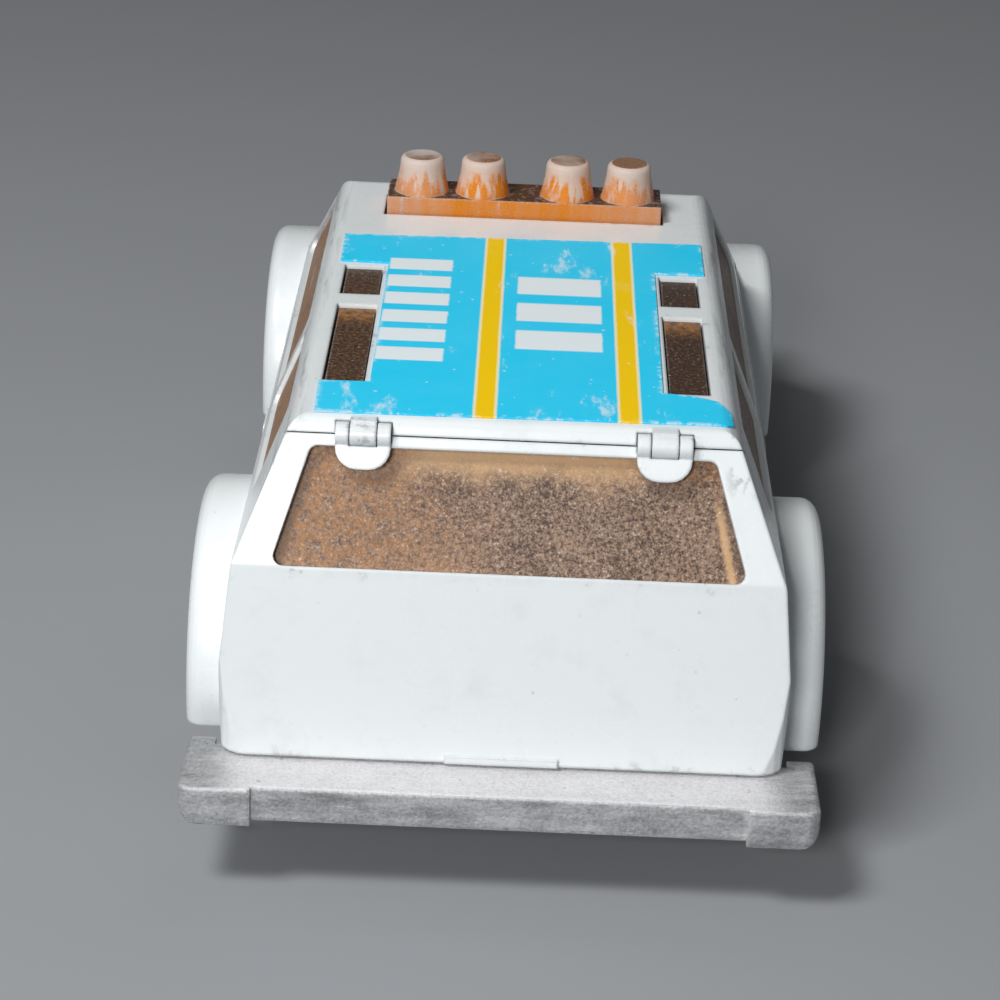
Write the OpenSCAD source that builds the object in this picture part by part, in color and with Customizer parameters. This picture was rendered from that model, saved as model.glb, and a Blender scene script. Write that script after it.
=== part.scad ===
// Die-cast toy police car: cast body with a lifting tailgate, cast base with bumpers,
// one amber moulding for windows and light bar, a seat moulding and four free wheels.
// X is across the car, +Y is forward, Z is up; the wheels stand on Z = 0.

/* [Overall] */
// Length over the bumpers
overall_len = 65; // [62:0.5:70]
// Width over the wheel flares
overall_w = 30; // [28.5:0.25:32]
// Distance between the axles, as a share of the length
wheelbase_share = 0.566; // [0.55:0.002:0.59]
// Rear axle to the rear bumper's face, as a share of the length
rear_overhang_share = 0.228; // [0.22:0.002:0.236]
// Height of the roof above the floor
roof_z = 20.2; // [19.4:0.1:21.2]
// Wall thickness of the castings
wall = 1.1; // [0.9:0.05:1.3]

/* [Body] */
// How far the flares stand out of the body on each side
flare_out = 1.95; // [1.7:0.05:2.2]
// How far the sills tuck in on each side
sill_tuck = 0.25; // [0.1:0.05:0.4]
// How far the belt line tucks in on each side
belt_tuck = 0.5; // [0.3:0.05:0.8]
// How far the roof tucks in on each side
roof_tuck = 3.05; // [2.8:0.05:3.4]
// How far the nose tucks in on each side
nose_tuck = 1.35; // [0.9:0.05:1.8]
// Height of the widest line
widest_z = 9; // [8:0.25:10]
// Height of the belt line
belt_z = 14; // [13.6:0.1:14.4]
// Height of the bonnet at its front edge
nose_z = 10.9; // [10.4:0.1:11.4]
// Height of the bonnet at the windscreen
cowl_z = 13.5; // [13.1:0.1:13.8]
// Rear axle to the front edge of the roof, as a share of the wheelbase
roof_front_share = 0.723; // [0.7:0.005:0.74]
// Forward slope of the windscreen over its height
screen_lean = 6; // [5:0.25:7]
// Backward slope of the nose over its height
nose_lean = 0.7; // [0.4:0.1:1]
// Radius of the roof's side edges
roof_edge_r = 1; // [0.8:0.1:1.3]
// Radius of the body's rear corners
tail_corner_r = 1.4; // [1:0.1:1.8]
// Radius of the nose's corners
nose_corner_r = 3; // [2:0.25:4]
// Depth of the cast door lines
groove_d = 0.2; // [0.15:0.05:0.3]

/* [Flares] */
// Room between a wheel and its opening
arch_gap = 0.9; // [0.7:0.05:1.1]
// Height of the flare round the opening
flare_band = 1.3; // [1.1:0.05:1.5]
// Drop of the flares' feet below the axle
flare_drop = 1.2; // [1:0.1:1.4]
// Rounding of the flares' outer edge
flare_edge_r = 0.8; // [0.4:0.1:1]

/* [Tailgate] */
// Forward lean of the tail panel up to the window
panel_lean = 1.8; // [1.4:0.1:2.2]
// Forward lean of the rear window up to the roof
window_lean = 3.2; // [2.8:0.1:3.6]
// Height of the rear window's foot
window_foot_z = 14.15; // [13.8:0.05:14.5]
// Thickness of the tailgate
gate_t = 1.3; // [1.2:0.05:1.5]
// Gap round the tailgate
gate_gap = 0.06; // [0.05:0.01:0.15]
// Frame beside the rear pane at its foot
rear_pane_rim = 1.75; // [1.5:0.05:2.2]
// Frame beside the rear pane at its head
rear_pane_top_rim = 0.85; // [0.7:0.05:1.2]
// Thickness of the rear pane
rear_pane_t = 0.7; // [0.6:0.05:0.8]
// Height of the tailgate's top rail
rear_rail = 0.55; // [0.45:0.05:0.8]
// Width of the finger lip
lip_w = 5.2; // [4:0.2:7]

/* [Hinges] */
// Distance of each hinge in from the roof's side
hinge_in = 3.2; // [2.8:0.1:3.6]
// Drop of the hinge line below the roof
hinge_drop = 0.7; // [0.66:0.02:0.8]
// Radius of the hinge barrels
knuckle_r = 0.56; // [0.52:0.02:0.64]
// Width of the roof's knuckle
knuckle_w = 1.2; // [1:0.1:1.4]
// Width of each ear on the tailgate
ear_w = 0.6; // [0.5:0.05:0.8]
// Radius of the hinge pins
pin_r = 0.3; // [0.27:0.01:0.34]
// Length of the tongue below each hinge
tongue_len = 1.6; // [1.4:0.05:1.9]

/* [Roof panes] */
// Width of the roof panes
roof_pane_w = 2; // [1.7:0.05:2.3]
// Rail between the roof panes and the roof's side
roof_pane_edge = 0.95; // [0.85:0.05:1.2]
// Long pane's rear end behind the rear axle, as a share of the wheelbase
roof_pane_back_share = 0.073; // [0.06:0.001:0.08]
// Length of the long roof pane, as a share of the wheelbase
long_pane_share = 0.269; // [0.26:0.001:0.28]
// Width of the bar between the two panes
pane_bar = 1.4; // [1.1:0.1:1.7]
// Length of the short roof pane, as a share of the wheelbase
short_pane_share = 0.114; // [0.105:0.001:0.122]

/* [Glazing and light bar] */
// Thickness of the amber moulding
glass_t = 0.7; // [0.6:0.05:0.8]
// Clearance between the moulding and the body
glass_fit = 0.1; // [0.08:0.02:0.14]
// Light bar's near face behind the roof's front edge
bar_back = 5.6; // [5:0.1:6.2]
// Roof left bare beside the light bar on each side
bar_inset = 2.6; // [2.3:0.1:3]
// Depth of the light bar
bar_d = 3; // [2.9:0.05:3.2]
// Height of the light bar's base above the roof
bar_rise = 0.95; // [0.7:0.05:1.2]
// Height of a dome above the base
dome_h = 1.95; // [1.7:0.05:2.4]
// Radius of a dome's foot
dome_foot_r = 1.48; // [1.4:0.02:1.5]
// Radius of a dome's body
dome_r = 1.25; // [1.15:0.01:1.35]
// Distance of the outer domes in from the bar's end
dome_end = 1.8; // [1.6:0.05:2]
// Distance of the inner domes from the middle, as a share of the outer ones'
dome_in_share = 0.41; // [0.38:0.01:0.44]

/* [Roof label] */
// Thickness of the label
label_t = 0.12; // [0.08:0.02:0.2]
// Roof left bare beside the label on each side
label_edge = 0.7; // [0.6:0.05:1]
// Roof left bare between the tailgate and the label
label_back = 0.8; // [0.7:0.05:1.2]
// Roof left bare between the label and the light bar
label_stop = 3.2; // [2.6:0.1:3.8]
// Bare rim round the roof panes
label_rim = 0.3; // [0.2:0.05:0.4]

/* [Wheels] */
// Radius of the wheels, as a share of the car's length
wheel_share = 0.0846; // [0.08:0.0002:0.088]
// Width of the wheels
wheel_w = 4.2; // [3.8:0.1:4.4]
// Distance of the wheels' outer faces inside the flares
wheel_cover = 1.3; // [1.1:0.1:1.6]
// Radius of the axles
axle_r = 0.5; // [0.45:0.01:0.55]
// Running clearance of the wheels and hinges
run_fit = 0.05; // [0.03:0.01:0.07]
// Radius of the hub recess
hub_r = 3.5; // [3.2:0.1:3.8]
// Depth of the hub recess
hub_d = 1.2; // [1:0.1:1.4]
// Thickness of the hub insert
hub_t = 0.8; // [0.6:0.05:0.9]

/* [Base] */
// Drop of the base's underside below the axles
base_drop = 2; // [1.95:0.05:2.1]
// Thickness of the base
base_t = 1.4; // [1.3:0.05:1.45]
// Height of the bumpers
bumper_h = 1.7; // [1.6:0.05:1.9]
// How far the bumpers stay inside the flares on each side
bumper_inset = 0.5; // [0.3:0.05:0.8]
// Depth of the rear bumper behind the tail, as a share of the length
rear_ledge_share = 0.0454; // [0.042:0.0002:0.048]
// Depth of the front bumper ahead of the nose, as a share of the length
front_ledge_share = 0.031; // [0.026:0.0005:0.036]
// Width of each bumper end cap
cap_w = 3.3; // [2.6:0.1:3.8]
// How far the end caps stand proud
cap_proud = 0.3; // [0.2:0.05:0.4]
// Length of the bumper ends ahead of the tail
ear_len = 1.7; // [1.3:0.1:2]

/* [Interior] */
// Gap between the seat moulding and the wheels
tray_gap = 1; // [0.7:0.05:1.3]
// Thickness of the seat moulding's floor
tray_t = 0.8; // [0.7:0.05:1]
// Height of the seat backs above the floor
seat_back_h = 6.4; // [5.6:0.2:6.8]

/* [Hidden] */
$fn = 48;
// Steps in each rounded corner of an outline
steps = 5;
// Overrun of every cut
over = 0.5;
// Clearance between the two castings and between castings and inserts
seam = 0.15;
// Clearance beside the hinge knuckles, and round each raised pane
hinge_gap = 0.05;
pane_gap = 0.1;
// Depth of the raised panes below the body's surface
pane_sink = 0.2;
// Radii of the small outline corners
roof_front_r = 1.6;
roof_rear_r = 0.6;
waist_r = 0.6;
nose_r = 1.3;
belt_r = 0.7;
pane_corner_r = 0.45;
label_corner_r = 0.4;
// Frame margin of the windscreen, and of the side windows below and above
screen_rim = 0.9;
side_foot = 0.8;
side_head = 1.5;
// Frame of the side windows at their ends
pillar_w = 1.3;
door_line_w = 0.22;
// Cast door handles
handle_l = 2.4;
handle_h = 0.6;
handle_out = 0.22;
handle_drop = 1.3;
handle_back = 0.9;
// Boss and rivet sizes
boss_r = 1.7;
rivet_r = 0.8;
rivet_head_r = 1.6;
rivet_head_t = 0.5;
rivet_bite = 1.2;
rivet_fit = 0.02;
front_boss_back = 5.6;
cross_bar_h = 1.9;
// Tongues below the tailgate hinges, and the rear pane's seat
tongue_t = 0.25;
tongue_root = 0.4;
tongue_r = 1;
lip_h = 0.35;
lip_out = 0.12;
pane_seat = 0.6;
pane_grip = 0.3;
// Grille and lamps on the base's front upstand
grille_edge = 2.4;
grille_h = 3.6;
grille_rise = 0.9;
grille_t = 0.8;
slat_count = 4;
slat_h = 0.35;
slat_out = 0.3;
lamp_r = 1.35;
lamp_out = 0.35;
lamp_in = 2;
// Saddles that hold the axles
saddle_in = 2.1;
saddle_w = 2.4;
saddle_l = 3.2;
tray_lift = 0.25;
cap_low_r = 0.9;
cap_top_r = 0.3;
cap_plan_r = 0.7;
// Relief on the underside of the base
pipe_r = 0.55;
pipe_in = 2.2;
sump_w = 6;
sump_l = 7;
relief_h = 0.35;
plinth_share = 0.16;
plinth_l_share = 0.2;
plinth_h = 0.3;
base_edge = 0.5;
// Seats, dash and steering wheel
seat_share = 0.32;
seat_place_share = 0.24;
seat_l = 5.6;
seat_h = 2.2;
back_t = 1.5;
back_lean = 12;
seat_gap = 9.5;
seat_edge_r = 0.6;
bench_edge = 1.2;
dash_d = 2.4;
dash_h = 4.6;
dash_back = 3.4;
rim_r = 1.7;
rim_t = 0.28;
rim_tilt = 62;
column_l = 1.8;
load_floor_l = 5.4;
// Wheel details
tyre_edge_r = 0.6;
inner_recess_r = 4.3;
inner_recess_d = 1.4;
tread_w = 0.3;
tread_d = 0.2;
tread_shares = [0.28, 0.5, 0.72];
head_r = 0.85;
head_t = 0.35;
head_play = 0.1;
hub_hole_r = 0.55;
hub_hole_count = 8;
hub_hole_share = 0.66;
hub_dish = 0.3;
// Dome outline, as shares of its height
dome_skirt_share = 0.5;
dome_top_share = 0.92;
dome_top_r = 0.32;

// Widths
body_w = overall_w - 2 * flare_out;
sill_w = body_w - 2 * sill_tuck;
belt_w = body_w - 2 * belt_tuck;
roof_w = body_w - 2 * roof_tuck;
nose_w = body_w - 2 * nose_tuck;
rear_pane_w = belt_w - 2 * rear_pane_rim;
rear_pane_top_w = roof_w - 2 * rear_pane_top_rim;
hinge_x = roof_w / 2 - hinge_in;
roof_pane_out = roof_w / 2 - roof_pane_edge;
roof_pane_in = roof_pane_out - roof_pane_w;
bar_w = roof_w - 2 * bar_inset;
dome_out_x = bar_w / 2 - dome_end;
dome_in_x = dome_out_x * dome_in_share;
label_w = roof_w - 2 * label_edge;
bumper_w = overall_w - 2 * bumper_inset;
wheel_x = overall_w / 2 - wheel_cover - wheel_w;
saddle_x = wheel_x - saddle_in;
pipe_x = saddle_x - pipe_in;
grille_w = nose_w - 2 * grille_edge;
lamp_x = grille_w / 2 - lamp_in;
seat_tray_w = 2 * (wheel_x - tray_gap);
seat_w = seat_tray_w * seat_share;
seat_x = seat_tray_w * seat_place_share;
bench_w = seat_tray_w - 2 * bench_edge;

// Heights that follow the axles
wheel_r = overall_len * wheel_share;
arch_r = wheel_r + arch_gap;
flare_r = arch_r + flare_band;
flare_foot_z = wheel_r - flare_drop;
base_z = wheel_r - base_drop;
base_top = base_z + base_t;
ledge_z = base_z + bumper_h;
sill_z = base_top - wall + seam;
end_z = ledge_z + seam;

// Places along the car
wheelbase = overall_len * wheelbase_share;
rear_overhang = overall_len * rear_overhang_share;
rear_ledge = overall_len * rear_ledge_share;
front_ledge = overall_len * front_ledge_share;
rear_face_y = -overall_len / 2;
front_face_y = overall_len / 2;
rear_axle_y = rear_face_y + rear_overhang;
front_axle_y = rear_axle_y + wheelbase;
tail_y = rear_face_y + rear_ledge;
nose_y = front_face_y - front_ledge;
belt_rear_y = tail_y + panel_lean;
roof_rear_y = belt_rear_y + window_lean;
screen_y = rear_axle_y + wheelbase * roof_front_share;
cowl_y = screen_y + screen_lean;

// The rear window's line, its inward normal and the hinge on it
window_foot = [belt_rear_y, window_foot_z];
window_up = unit([window_lean, roof_z - window_foot_z]);
window_in = [window_up.y, -window_up.x];
hinge_up = (roof_z - hinge_drop - window_foot_z) / window_up.y;
hinge_sunk = 0.02;
hinge_at = window_foot + window_up * hinge_up + window_in * hinge_sunk;
panel_up = unit([panel_lean, window_foot_z - end_z]);

// Outlines

function unit(v) = v / norm(v);

function left_of(v) = [-v.y, v.x];

// Parallel outline, moved inwards by t
function inset(p, t) = [
    for (i = [0 : len(p) - 1])
        let (
            b = p[i],
            m = left_of(unit(b - p[(i + len(p) - 1) % len(p)])),
            n = left_of(unit(p[(i + 1) % len(p)] - b))
        )
        b + (m + n) * t / (1 + m * n)
];

function turn(a) = a > 180 ? a - 360 : a < -180 ? a + 360 : a;

// The corner b between a and c, rounded to radius r
function corner(a, b, c, r) =
    r <= 0 ? [b] :
    let (
        u = unit(a - b),
        v = unit(c - b),
        half = acos(u * v) / 2,
        o = b + unit(u + v) * r / sin(half),
        p = b + u * r / tan(half) - o,
        q = b + v * r / tan(half) - o,
        start = atan2(p.y, p.x),
        sweep = turn(atan2(q.y, q.x) - start)
    )
    [for (k = [0 : steps]) o + r * [cos(start + sweep * k / steps), sin(start + sweep * k / steps)]];

function rounded(p, r) = [
    for (i = [0 : len(p) - 1])
        each corner(p[(i + len(p) - 1) % len(p)], p[i], p[(i + 1) % len(p)], is_list(r) ? r[i] : r)
];

function shrunk(r, t) = [for (v = r) max(v - t, 0)];

// Right half of an outline and its mirror image
function both_halves(p) = concat(p, [for (i = [len(p) - 1 : -1 : 0]) [-p[i].x, p[i].y]]);

function side_points(drop) = [
    [tail_y, end_z - drop],
    [rear_axle_y, end_z - drop],
    [rear_axle_y, sill_z - drop],
    [front_axle_y, sill_z - drop],
    [front_axle_y, end_z - drop],
    [nose_y, end_z - drop],
    [nose_y - nose_lean, nose_z],
    [cowl_y, cowl_z],
    [screen_y, roof_z],
    [roof_rear_y, roof_z],
    window_foot
];
side_radii = [0, 0, 0, 0, 0, 0, nose_r, 0, roof_front_r, roof_rear_r, waist_r];
function side_outline(t, drop) = rounded(inset(side_points(drop), t), shrunk(side_radii, t));

function cross_points(drop) = both_halves([
    [sill_w / 2, sill_z - drop],
    [body_w / 2, widest_z],
    [belt_w / 2, belt_z],
    [roof_w / 2, roof_z]
]);
cross_radii = [0, 0, belt_r, roof_edge_r, roof_edge_r, belt_r, 0, 0];
function cross_outline(t, drop) = rounded(inset(cross_points(drop), t), shrunk(cross_radii, t));

function plan_points() = [
    [-body_w / 2, tail_y],
    [body_w / 2, tail_y],
    [body_w / 2, front_axle_y],
    [nose_w / 2, nose_y],
    [-nose_w / 2, nose_y],
    [-body_w / 2, front_axle_y]
];
plan_radii = [tail_corner_r, tail_corner_r, 0, nose_corner_r, nose_corner_r, 0];
function plan_outline(t) = rounded(inset(plan_points(), t), shrunk(plan_radii, t));

// Everything behind the tailgate's inner face: d deep, its top e above the hinge line
function gate_zone(d, e, bottom) =
    let (
        kink = inset(side_points(0), d)[len(side_points(0)) - 1],
        foot = kink + panel_up * (bottom - kink.y) / panel_up.y,
        top = window_foot + window_up * (hinge_up + e)
    )
    [[rear_face_y, bottom], foot, kink, top + window_in * d, top - window_in * overall_w];

function trapezium(low_w, top_w, low, top) = [
    [-low_w / 2, low], [low_w / 2, low], [top_w / 2, top], [-top_w / 2, top]
];

// Helpers

module along_x(outline, width) {
    rotate([90, 0, 90]) linear_extrude(width, center = true) polygon(outline);
}

module along_y(outline, depth) {
    rotate([90, 0, 0]) linear_extrude(depth, center = true) polygon(outline);
}

// A cylinder across the car, from x to x + w
module cross_pin(r, x, w) {
    translate([x, 0, 0]) rotate([0, 90, 0]) cylinder(r = r, h = w);
}

// Local Y runs up the plane from foot to head, local X is across the car
module on_plane(foot, head) {
    up = head - foot;
    translate([0, foot.x, foot.y]) rotate([atan2(up.y, up.x), 0, 0]) children();
}

module on_rear_window() {
    on_plane(window_foot, [roof_rear_y, roof_z]) children();
}

module box(x, y, z) {
    translate([x[0], y[0], z[0]]) cube([x[1] - x[0], y[1] - y[0], z[1] - z[0]]);
}

module mirrored() {
    children();
    mirror([1, 0, 0]) children();
}

// The body's outer form, moved inwards by t, with its open foot drop lower
module body_form(t, drop) {
    intersection() {
        along_x(side_outline(t, drop), 2 * overall_w);
        along_y(cross_outline(t, drop), 2 * overall_len);
        translate([0, 0, -roof_z]) linear_extrude(3 * roof_z) polygon(plan_outline(t));
    }
}

// Body shell

roof_pane_back = wheelbase * roof_pane_back_share;
long_pane_y = [rear_axle_y - roof_pane_back, rear_axle_y - roof_pane_back + wheelbase * long_pane_share];
short_pane_y = [long_pane_y[1] + pane_bar, long_pane_y[1] + pane_bar + wheelbase * short_pane_share];
side_low_z = belt_z + side_foot;
side_top_z = roof_z - side_head;
screen_slope = screen_lean / (roof_z - cowl_z);
bar_y = [screen_y - bar_back, screen_y - bar_back + bar_d];
cross_bar_y = tail_y + panel_lean / 2 + gate_t + gate_gap;
cross_bar_d = rear_axle_y - arch_r - seam - cross_bar_y;
rear_rivet_y = cross_bar_y + cross_bar_d / 2;
front_rivet_y = nose_y - front_boss_back;

// Each window opening, made smaller by g
module side_windows(g) {
    rear_win = [
        [long_pane_y[0] - pillar_w, side_low_z],
        [long_pane_y[1], side_low_z],
        [long_pane_y[1], side_top_z],
        [long_pane_y[0], side_top_z]
    ];
    door_win = [
        [short_pane_y[0], side_low_z],
        [cowl_y - pillar_w - (side_low_z - cowl_z) * screen_slope, side_low_z],
        [cowl_y - pillar_w - (side_top_z - cowl_z) * screen_slope, side_top_z],
        [short_pane_y[0], side_top_z]
    ];
    for (p = [rear_win, door_win]) along_x(rounded(inset(p, g), pane_corner_r - g), 2 * overall_w);
}

module roof_pane_holes(g) {
    mirrored() for (y = [long_pane_y, short_pane_y])
        box([roof_pane_in + g, roof_pane_out - g], [y[0] + g, y[1] - g], [roof_z - 2 * wall, roof_z + over]);
}

module screen_hole(g) {
    up = norm([screen_lean, roof_z - cowl_z]);
    hole = trapezium(belt_w - 4 * wall, roof_w - 2 * wall, screen_rim, up - screen_rim);
    on_plane([cowl_y, cowl_z], [screen_y, roof_z])
        linear_extrude(4 * wall, center = true) polygon(rounded(inset(hole, g), pane_corner_r - g));
}

// Cast lines round the doors, as deep as groove_d
module door_lines() {
    door = [
        [long_pane_y[1] + pane_bar / 2, sill_z + wall],
        [front_axle_y - flare_r - wall, sill_z + wall],
        [cowl_y - pillar_w / 2, belt_z + side_foot / 2],
        [long_pane_y[1] + pane_bar / 2, belt_z + side_foot / 2]
    ];
    intersection() {
        difference() {
            along_x(rounded(door, pane_corner_r), 2 * overall_w);
            along_x(rounded(inset(door, door_line_w), pane_corner_r), 2 * overall_w + over);
        }
        difference() {
            body_form(-over, 0);
            body_form(groove_d, wall);
        }
    }
}

// Raised handle near the rear edge of each door
module door_handles() {
    y = long_pane_y[1] + pane_bar / 2 + handle_back;
    z = belt_z - handle_drop;
    bar = [[y, z - handle_h], [y + handle_l, z - handle_h], [y + handle_l, z], [y, z]];
    intersection() {
        along_x(rounded(bar, handle_h / 2 - door_line_w / 2), 2 * overall_w);
        difference() {
            body_form(-handle_out, 0);
            body_form(wall / 2, wall);
        }
    }
}

// Rounded box flare over one wheel, on the right-hand side
module flare(y) {
    root_x = belt_w / 2 - wall;
    section = rounded(
        [[arch_r, root_x], [flare_r, root_x], [flare_r, overall_w / 2], [arch_r, overall_w / 2]],
        [0, 0, flare_edge_r, 0]
    );
    translate([0, y, wheel_r]) difference() {
        rotate([0, 90, 0]) rotate_extrude() polygon(section);
        box([0, overall_w], [-2 * flare_r, 2 * flare_r], [-2 * flare_r, flare_foot_z - wheel_r]);
    }
}

module wheel_openings() {
    for (y = [rear_axle_y, front_axle_y])
        translate([0, y, wheel_r]) cross_pin(arch_r, -overall_w, 2 * overall_w);
}

module body_shell() {
    color("white") difference() {
        union() {
            difference() {
                body_form(0, 0);
                body_form(wall, 3 * wall);
                along_x(gate_zone(gate_t + gate_gap, gate_gap / 2, 0), 2 * overall_w);
                side_windows(0);
                roof_pane_holes(0);
                screen_hole(0);
                door_lines();
                wheel_openings();
                box([-bar_w / 2 - seam, bar_w / 2 + seam], [bar_y[0] - seam, bar_y[1] + seam],
                    [roof_z - 2 * wall, roof_z + over]);
                box([-grille_w / 2 - seam, grille_w / 2 + seam], [nose_y - 3 * wall, nose_y + over],
                    [end_z + grille_rise - seam, end_z + grille_rise + grille_h + seam]);
                mirrored() translate([hinge_x, hinge_at.x, hinge_at.y])
                    cross_pin(knuckle_r + gate_gap, -hinge_half - hinge_gap, 2 * hinge_half + 2 * hinge_gap);
            }
            mirrored() for (y = [rear_axle_y, front_axle_y]) flare(y);
            door_handles();
            // Cross bar under the tailgate's sill, with the rear boss
            box([-body_w / 2 + wall - over / 2, body_w / 2 - wall + over / 2],
                [cross_bar_y, cross_bar_y + cross_bar_d], [end_z, end_z + cross_bar_h]);
            translate([0, rear_rivet_y, base_top])
                cylinder(r = cross_bar_d / 2, h = end_z + cross_bar_h - base_top);
            intersection() {
                translate([0, front_rivet_y, base_top]) cylinder(r = boss_r, h = roof_z);
                body_form(wall / 2, 3 * wall);
            }
            // Knuckles at the roof's rear edge, each on a web from the roof
            mirrored() translate([hinge_x, hinge_at.x, hinge_at.y]) {
                cross_pin(knuckle_r, -knuckle_w / 2, knuckle_w);
                box([-knuckle_w / 2, knuckle_w / 2], [0, 2 * knuckle_r], [0, hinge_drop]);
            }
        }
        mirrored() translate([hinge_x, hinge_at.x, hinge_at.y])
            cross_pin(pin_r + run_fit, -knuckle_w, 2 * knuckle_w);
        for (y = [front_rivet_y, rear_rivet_y])
            translate([0, y, base_z]) cylinder(r = rivet_r + rivet_fit, h = base_t + rivet_bite + rivet_fit);
    }
}

// Tailgate

hinge_in_half = knuckle_w / 2 + hinge_gap;
hinge_half = hinge_in_half + ear_w;

// The rear pane's opening, made larger by grow on its sides and foot
module rear_pane_outline(grow) {
    low = trapezium(rear_pane_w + 2 * grow, rear_pane_top_w + 2 * grow, -grow, hinge_up - rear_rail);
    polygon(rounded(low, pane_corner_r));
}

module tailgate() {
    tongue = rounded(trapezium(2 * hinge_half, 2 * hinge_half, -tongue_len, 0), [tongue_r, tongue_r, 0, 0]);
    color("white") difference() {
        union() {
            difference() {
                intersection() {
                    body_form(0, 0);
                    along_x(gate_zone(gate_t, -gate_gap / 2, end_z), 2 * overall_w);
                }
                on_rear_window() {
                    translate([0, 0, -2 * gate_t]) linear_extrude(4 * gate_t) rear_pane_outline(0);
                    translate([0, 0, -gate_t - over]) linear_extrude(over + gate_t - pane_seat)
                        rear_pane_outline(pane_grip);
                }
            }
            mirrored() translate([hinge_x, 0, 0]) {
                on_rear_window() translate([0, hinge_up, -tongue_root])
                    linear_extrude(tongue_root + tongue_t) polygon(tongue);
                translate([0, hinge_at.x, hinge_at.y]) cross_pin(knuckle_r, -hinge_half, 2 * hinge_half);
            }
            box([-lip_w / 2, lip_w / 2], [tail_y - lip_out, tail_y + gate_t / 2], [end_z, end_z + lip_h]);
        }
        mirrored() translate([hinge_x, hinge_at.x, hinge_at.y]) {
            cross_pin(knuckle_r + gate_gap, -hinge_in_half, 2 * hinge_in_half);
            cross_pin(pin_r, -hinge_half - hinge_gap / 2, 2 * hinge_half + hinge_gap);
        }
    }
}

module tailgate_glass() {
    color("peru") difference() {
        on_rear_window() translate([0, 0, -pane_seat - rear_pane_t]) linear_extrude(rear_pane_t)
            rear_pane_outline(pane_grip - rivet_fit);
        mirrored() translate([hinge_x, hinge_at.x, hinge_at.y])
            cross_pin(knuckle_r + 2 * gate_gap, -hinge_half - hinge_gap, 2 * hinge_half + 2 * hinge_gap);
    }
}

module hinge_pins() {
    color("silver") mirrored() translate([hinge_x, hinge_at.x, hinge_at.y])
        cross_pin(pin_r, -hinge_half, 2 * hinge_half);
}

// Glazing with the light bar

module dome(x) {
    h = dome_h;
    outline = rounded(
        [[0, 0], [dome_foot_r, 0], [dome_r, h * dome_skirt_share], [dome_r * dome_top_share, h], [0, h]],
        [0, 0, 0, dome_top_r, 0]
    );
    translate([x, (bar_y[0] + bar_y[1]) / 2, roof_z + bar_rise]) rotate_extrude() polygon(outline);
}

module glazing() {
    depth = wall + glass_fit;
    rear_y = rear_axle_y - roof_pane_back - 2 * glass_t;
    color("peru") union() {
        intersection() {
            difference() {
                body_form(depth, wall);
                body_form(depth + glass_t, 3 * wall);
            }
            box([-overall_w, overall_w], [rear_y, cowl_y], [cowl_z, roof_z]);
        }
        // Raised panes that come up into the body's openings
        intersection() {
            difference() {
                body_form(pane_sink, wall);
                body_form(depth + glass_t / 2, 3 * wall);
            }
            union() {
                side_windows(pane_gap);
                roof_pane_holes(pane_gap);
                screen_hole(pane_gap);
            }
        }
        box([-bar_w / 2, bar_w / 2], bar_y, [roof_z - wall - glass_t, roof_z + bar_rise]);
        for (x = [-dome_out_x, -dome_in_x, dome_in_x, dome_out_x]) dome(x);
    }
}

// Roof label

module roof_label() {
    near = roof_rear_y + label_back;
    notch = roof_pane_in - label_rim;
    outline = both_halves([
        [label_w / 2, near],
        [label_w / 2, long_pane_y[0] - label_rim],
        [notch, long_pane_y[0] - label_rim],
        [notch, short_pane_y[1] + label_rim],
        [label_w / 2, short_pane_y[1] + label_rim],
        [label_w / 2, bar_y[0] - label_stop]
    ]);
    color("deepskyblue") translate([0, 0, roof_z])
        linear_extrude(label_t) polygon(rounded(outline, label_corner_r));
}

// Base

// One bumper, its face at y = 0 and its ledge running forward
module bumper(ledge) {
    half = bumper_w / 2;
    low = base_z - cap_proud / 2;
    cap = rounded(
        [[half - cap_w, low], [half, low], [half, ledge_z], [half - cap_w, ledge_z]],
        [0, cap_low_r, cap_top_r, 0]
    );
    plan = rounded(
        [[-half, -cap_proud], [half, -cap_proud], [half, overall_w], [-half, overall_w]],
        [cap_plan_r, cap_plan_r, 0, 0]
    );
    intersection() {
        difference() {
            union() {
                box([cap_w - half, half - cap_w], [0, ledge + wall], [base_z, ledge_z]);
                mirrored() along_y(cap, 2 * (ledge + ear_len));
            }
            mirrored() box([0, body_w / 2 + seam], [ledge + wall, overall_w], [0, roof_z]);
        }
        linear_extrude(roof_z) polygon(plan);
    }
}

module saddle(x, y) {
    difference() {
        box([x - saddle_w / 2, x + saddle_w / 2], [y - saddle_l / 2, y + saddle_l / 2],
            [base_top - over, wheel_r + axle_r + tray_lift]);
        translate([0, y, wheel_r]) cross_pin(axle_r + run_fit, x - saddle_w, 2 * saddle_w);
        box([x - saddle_w, x + saddle_w], [y - axle_r - run_fit, y + axle_r + run_fit],
            [wheel_r, wheel_r + roof_z]);
    }
}

module grille() {
    z0 = end_z + grille_rise;
    y1 = nose_y - nose_lean - seam;
    pitch = grille_h / slat_count;
    box([-grille_w / 2, grille_w / 2], [y1 - grille_t, y1], [z0, z0 + grille_h]);
    box([-grille_w / 2, grille_w / 2], [y1 - wall - grille_t, y1 - grille_t],
        [base_top - over, z0 + grille_h / 2]);
    for (i = [0 : slat_count - 1])
        box([-lamp_x + lamp_r + wall / 2, lamp_x - lamp_r - wall / 2], [y1 - over, y1 + slat_out],
            [z0 + (i + 0.5) * pitch - slat_h / 2, z0 + (i + 0.5) * pitch + slat_h / 2]);
    mirrored() translate([lamp_x, y1 - over, z0 + grille_h / 2]) rotate([-90, 0, 0])
        cylinder(r = lamp_r, h = over + lamp_out);
}

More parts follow.
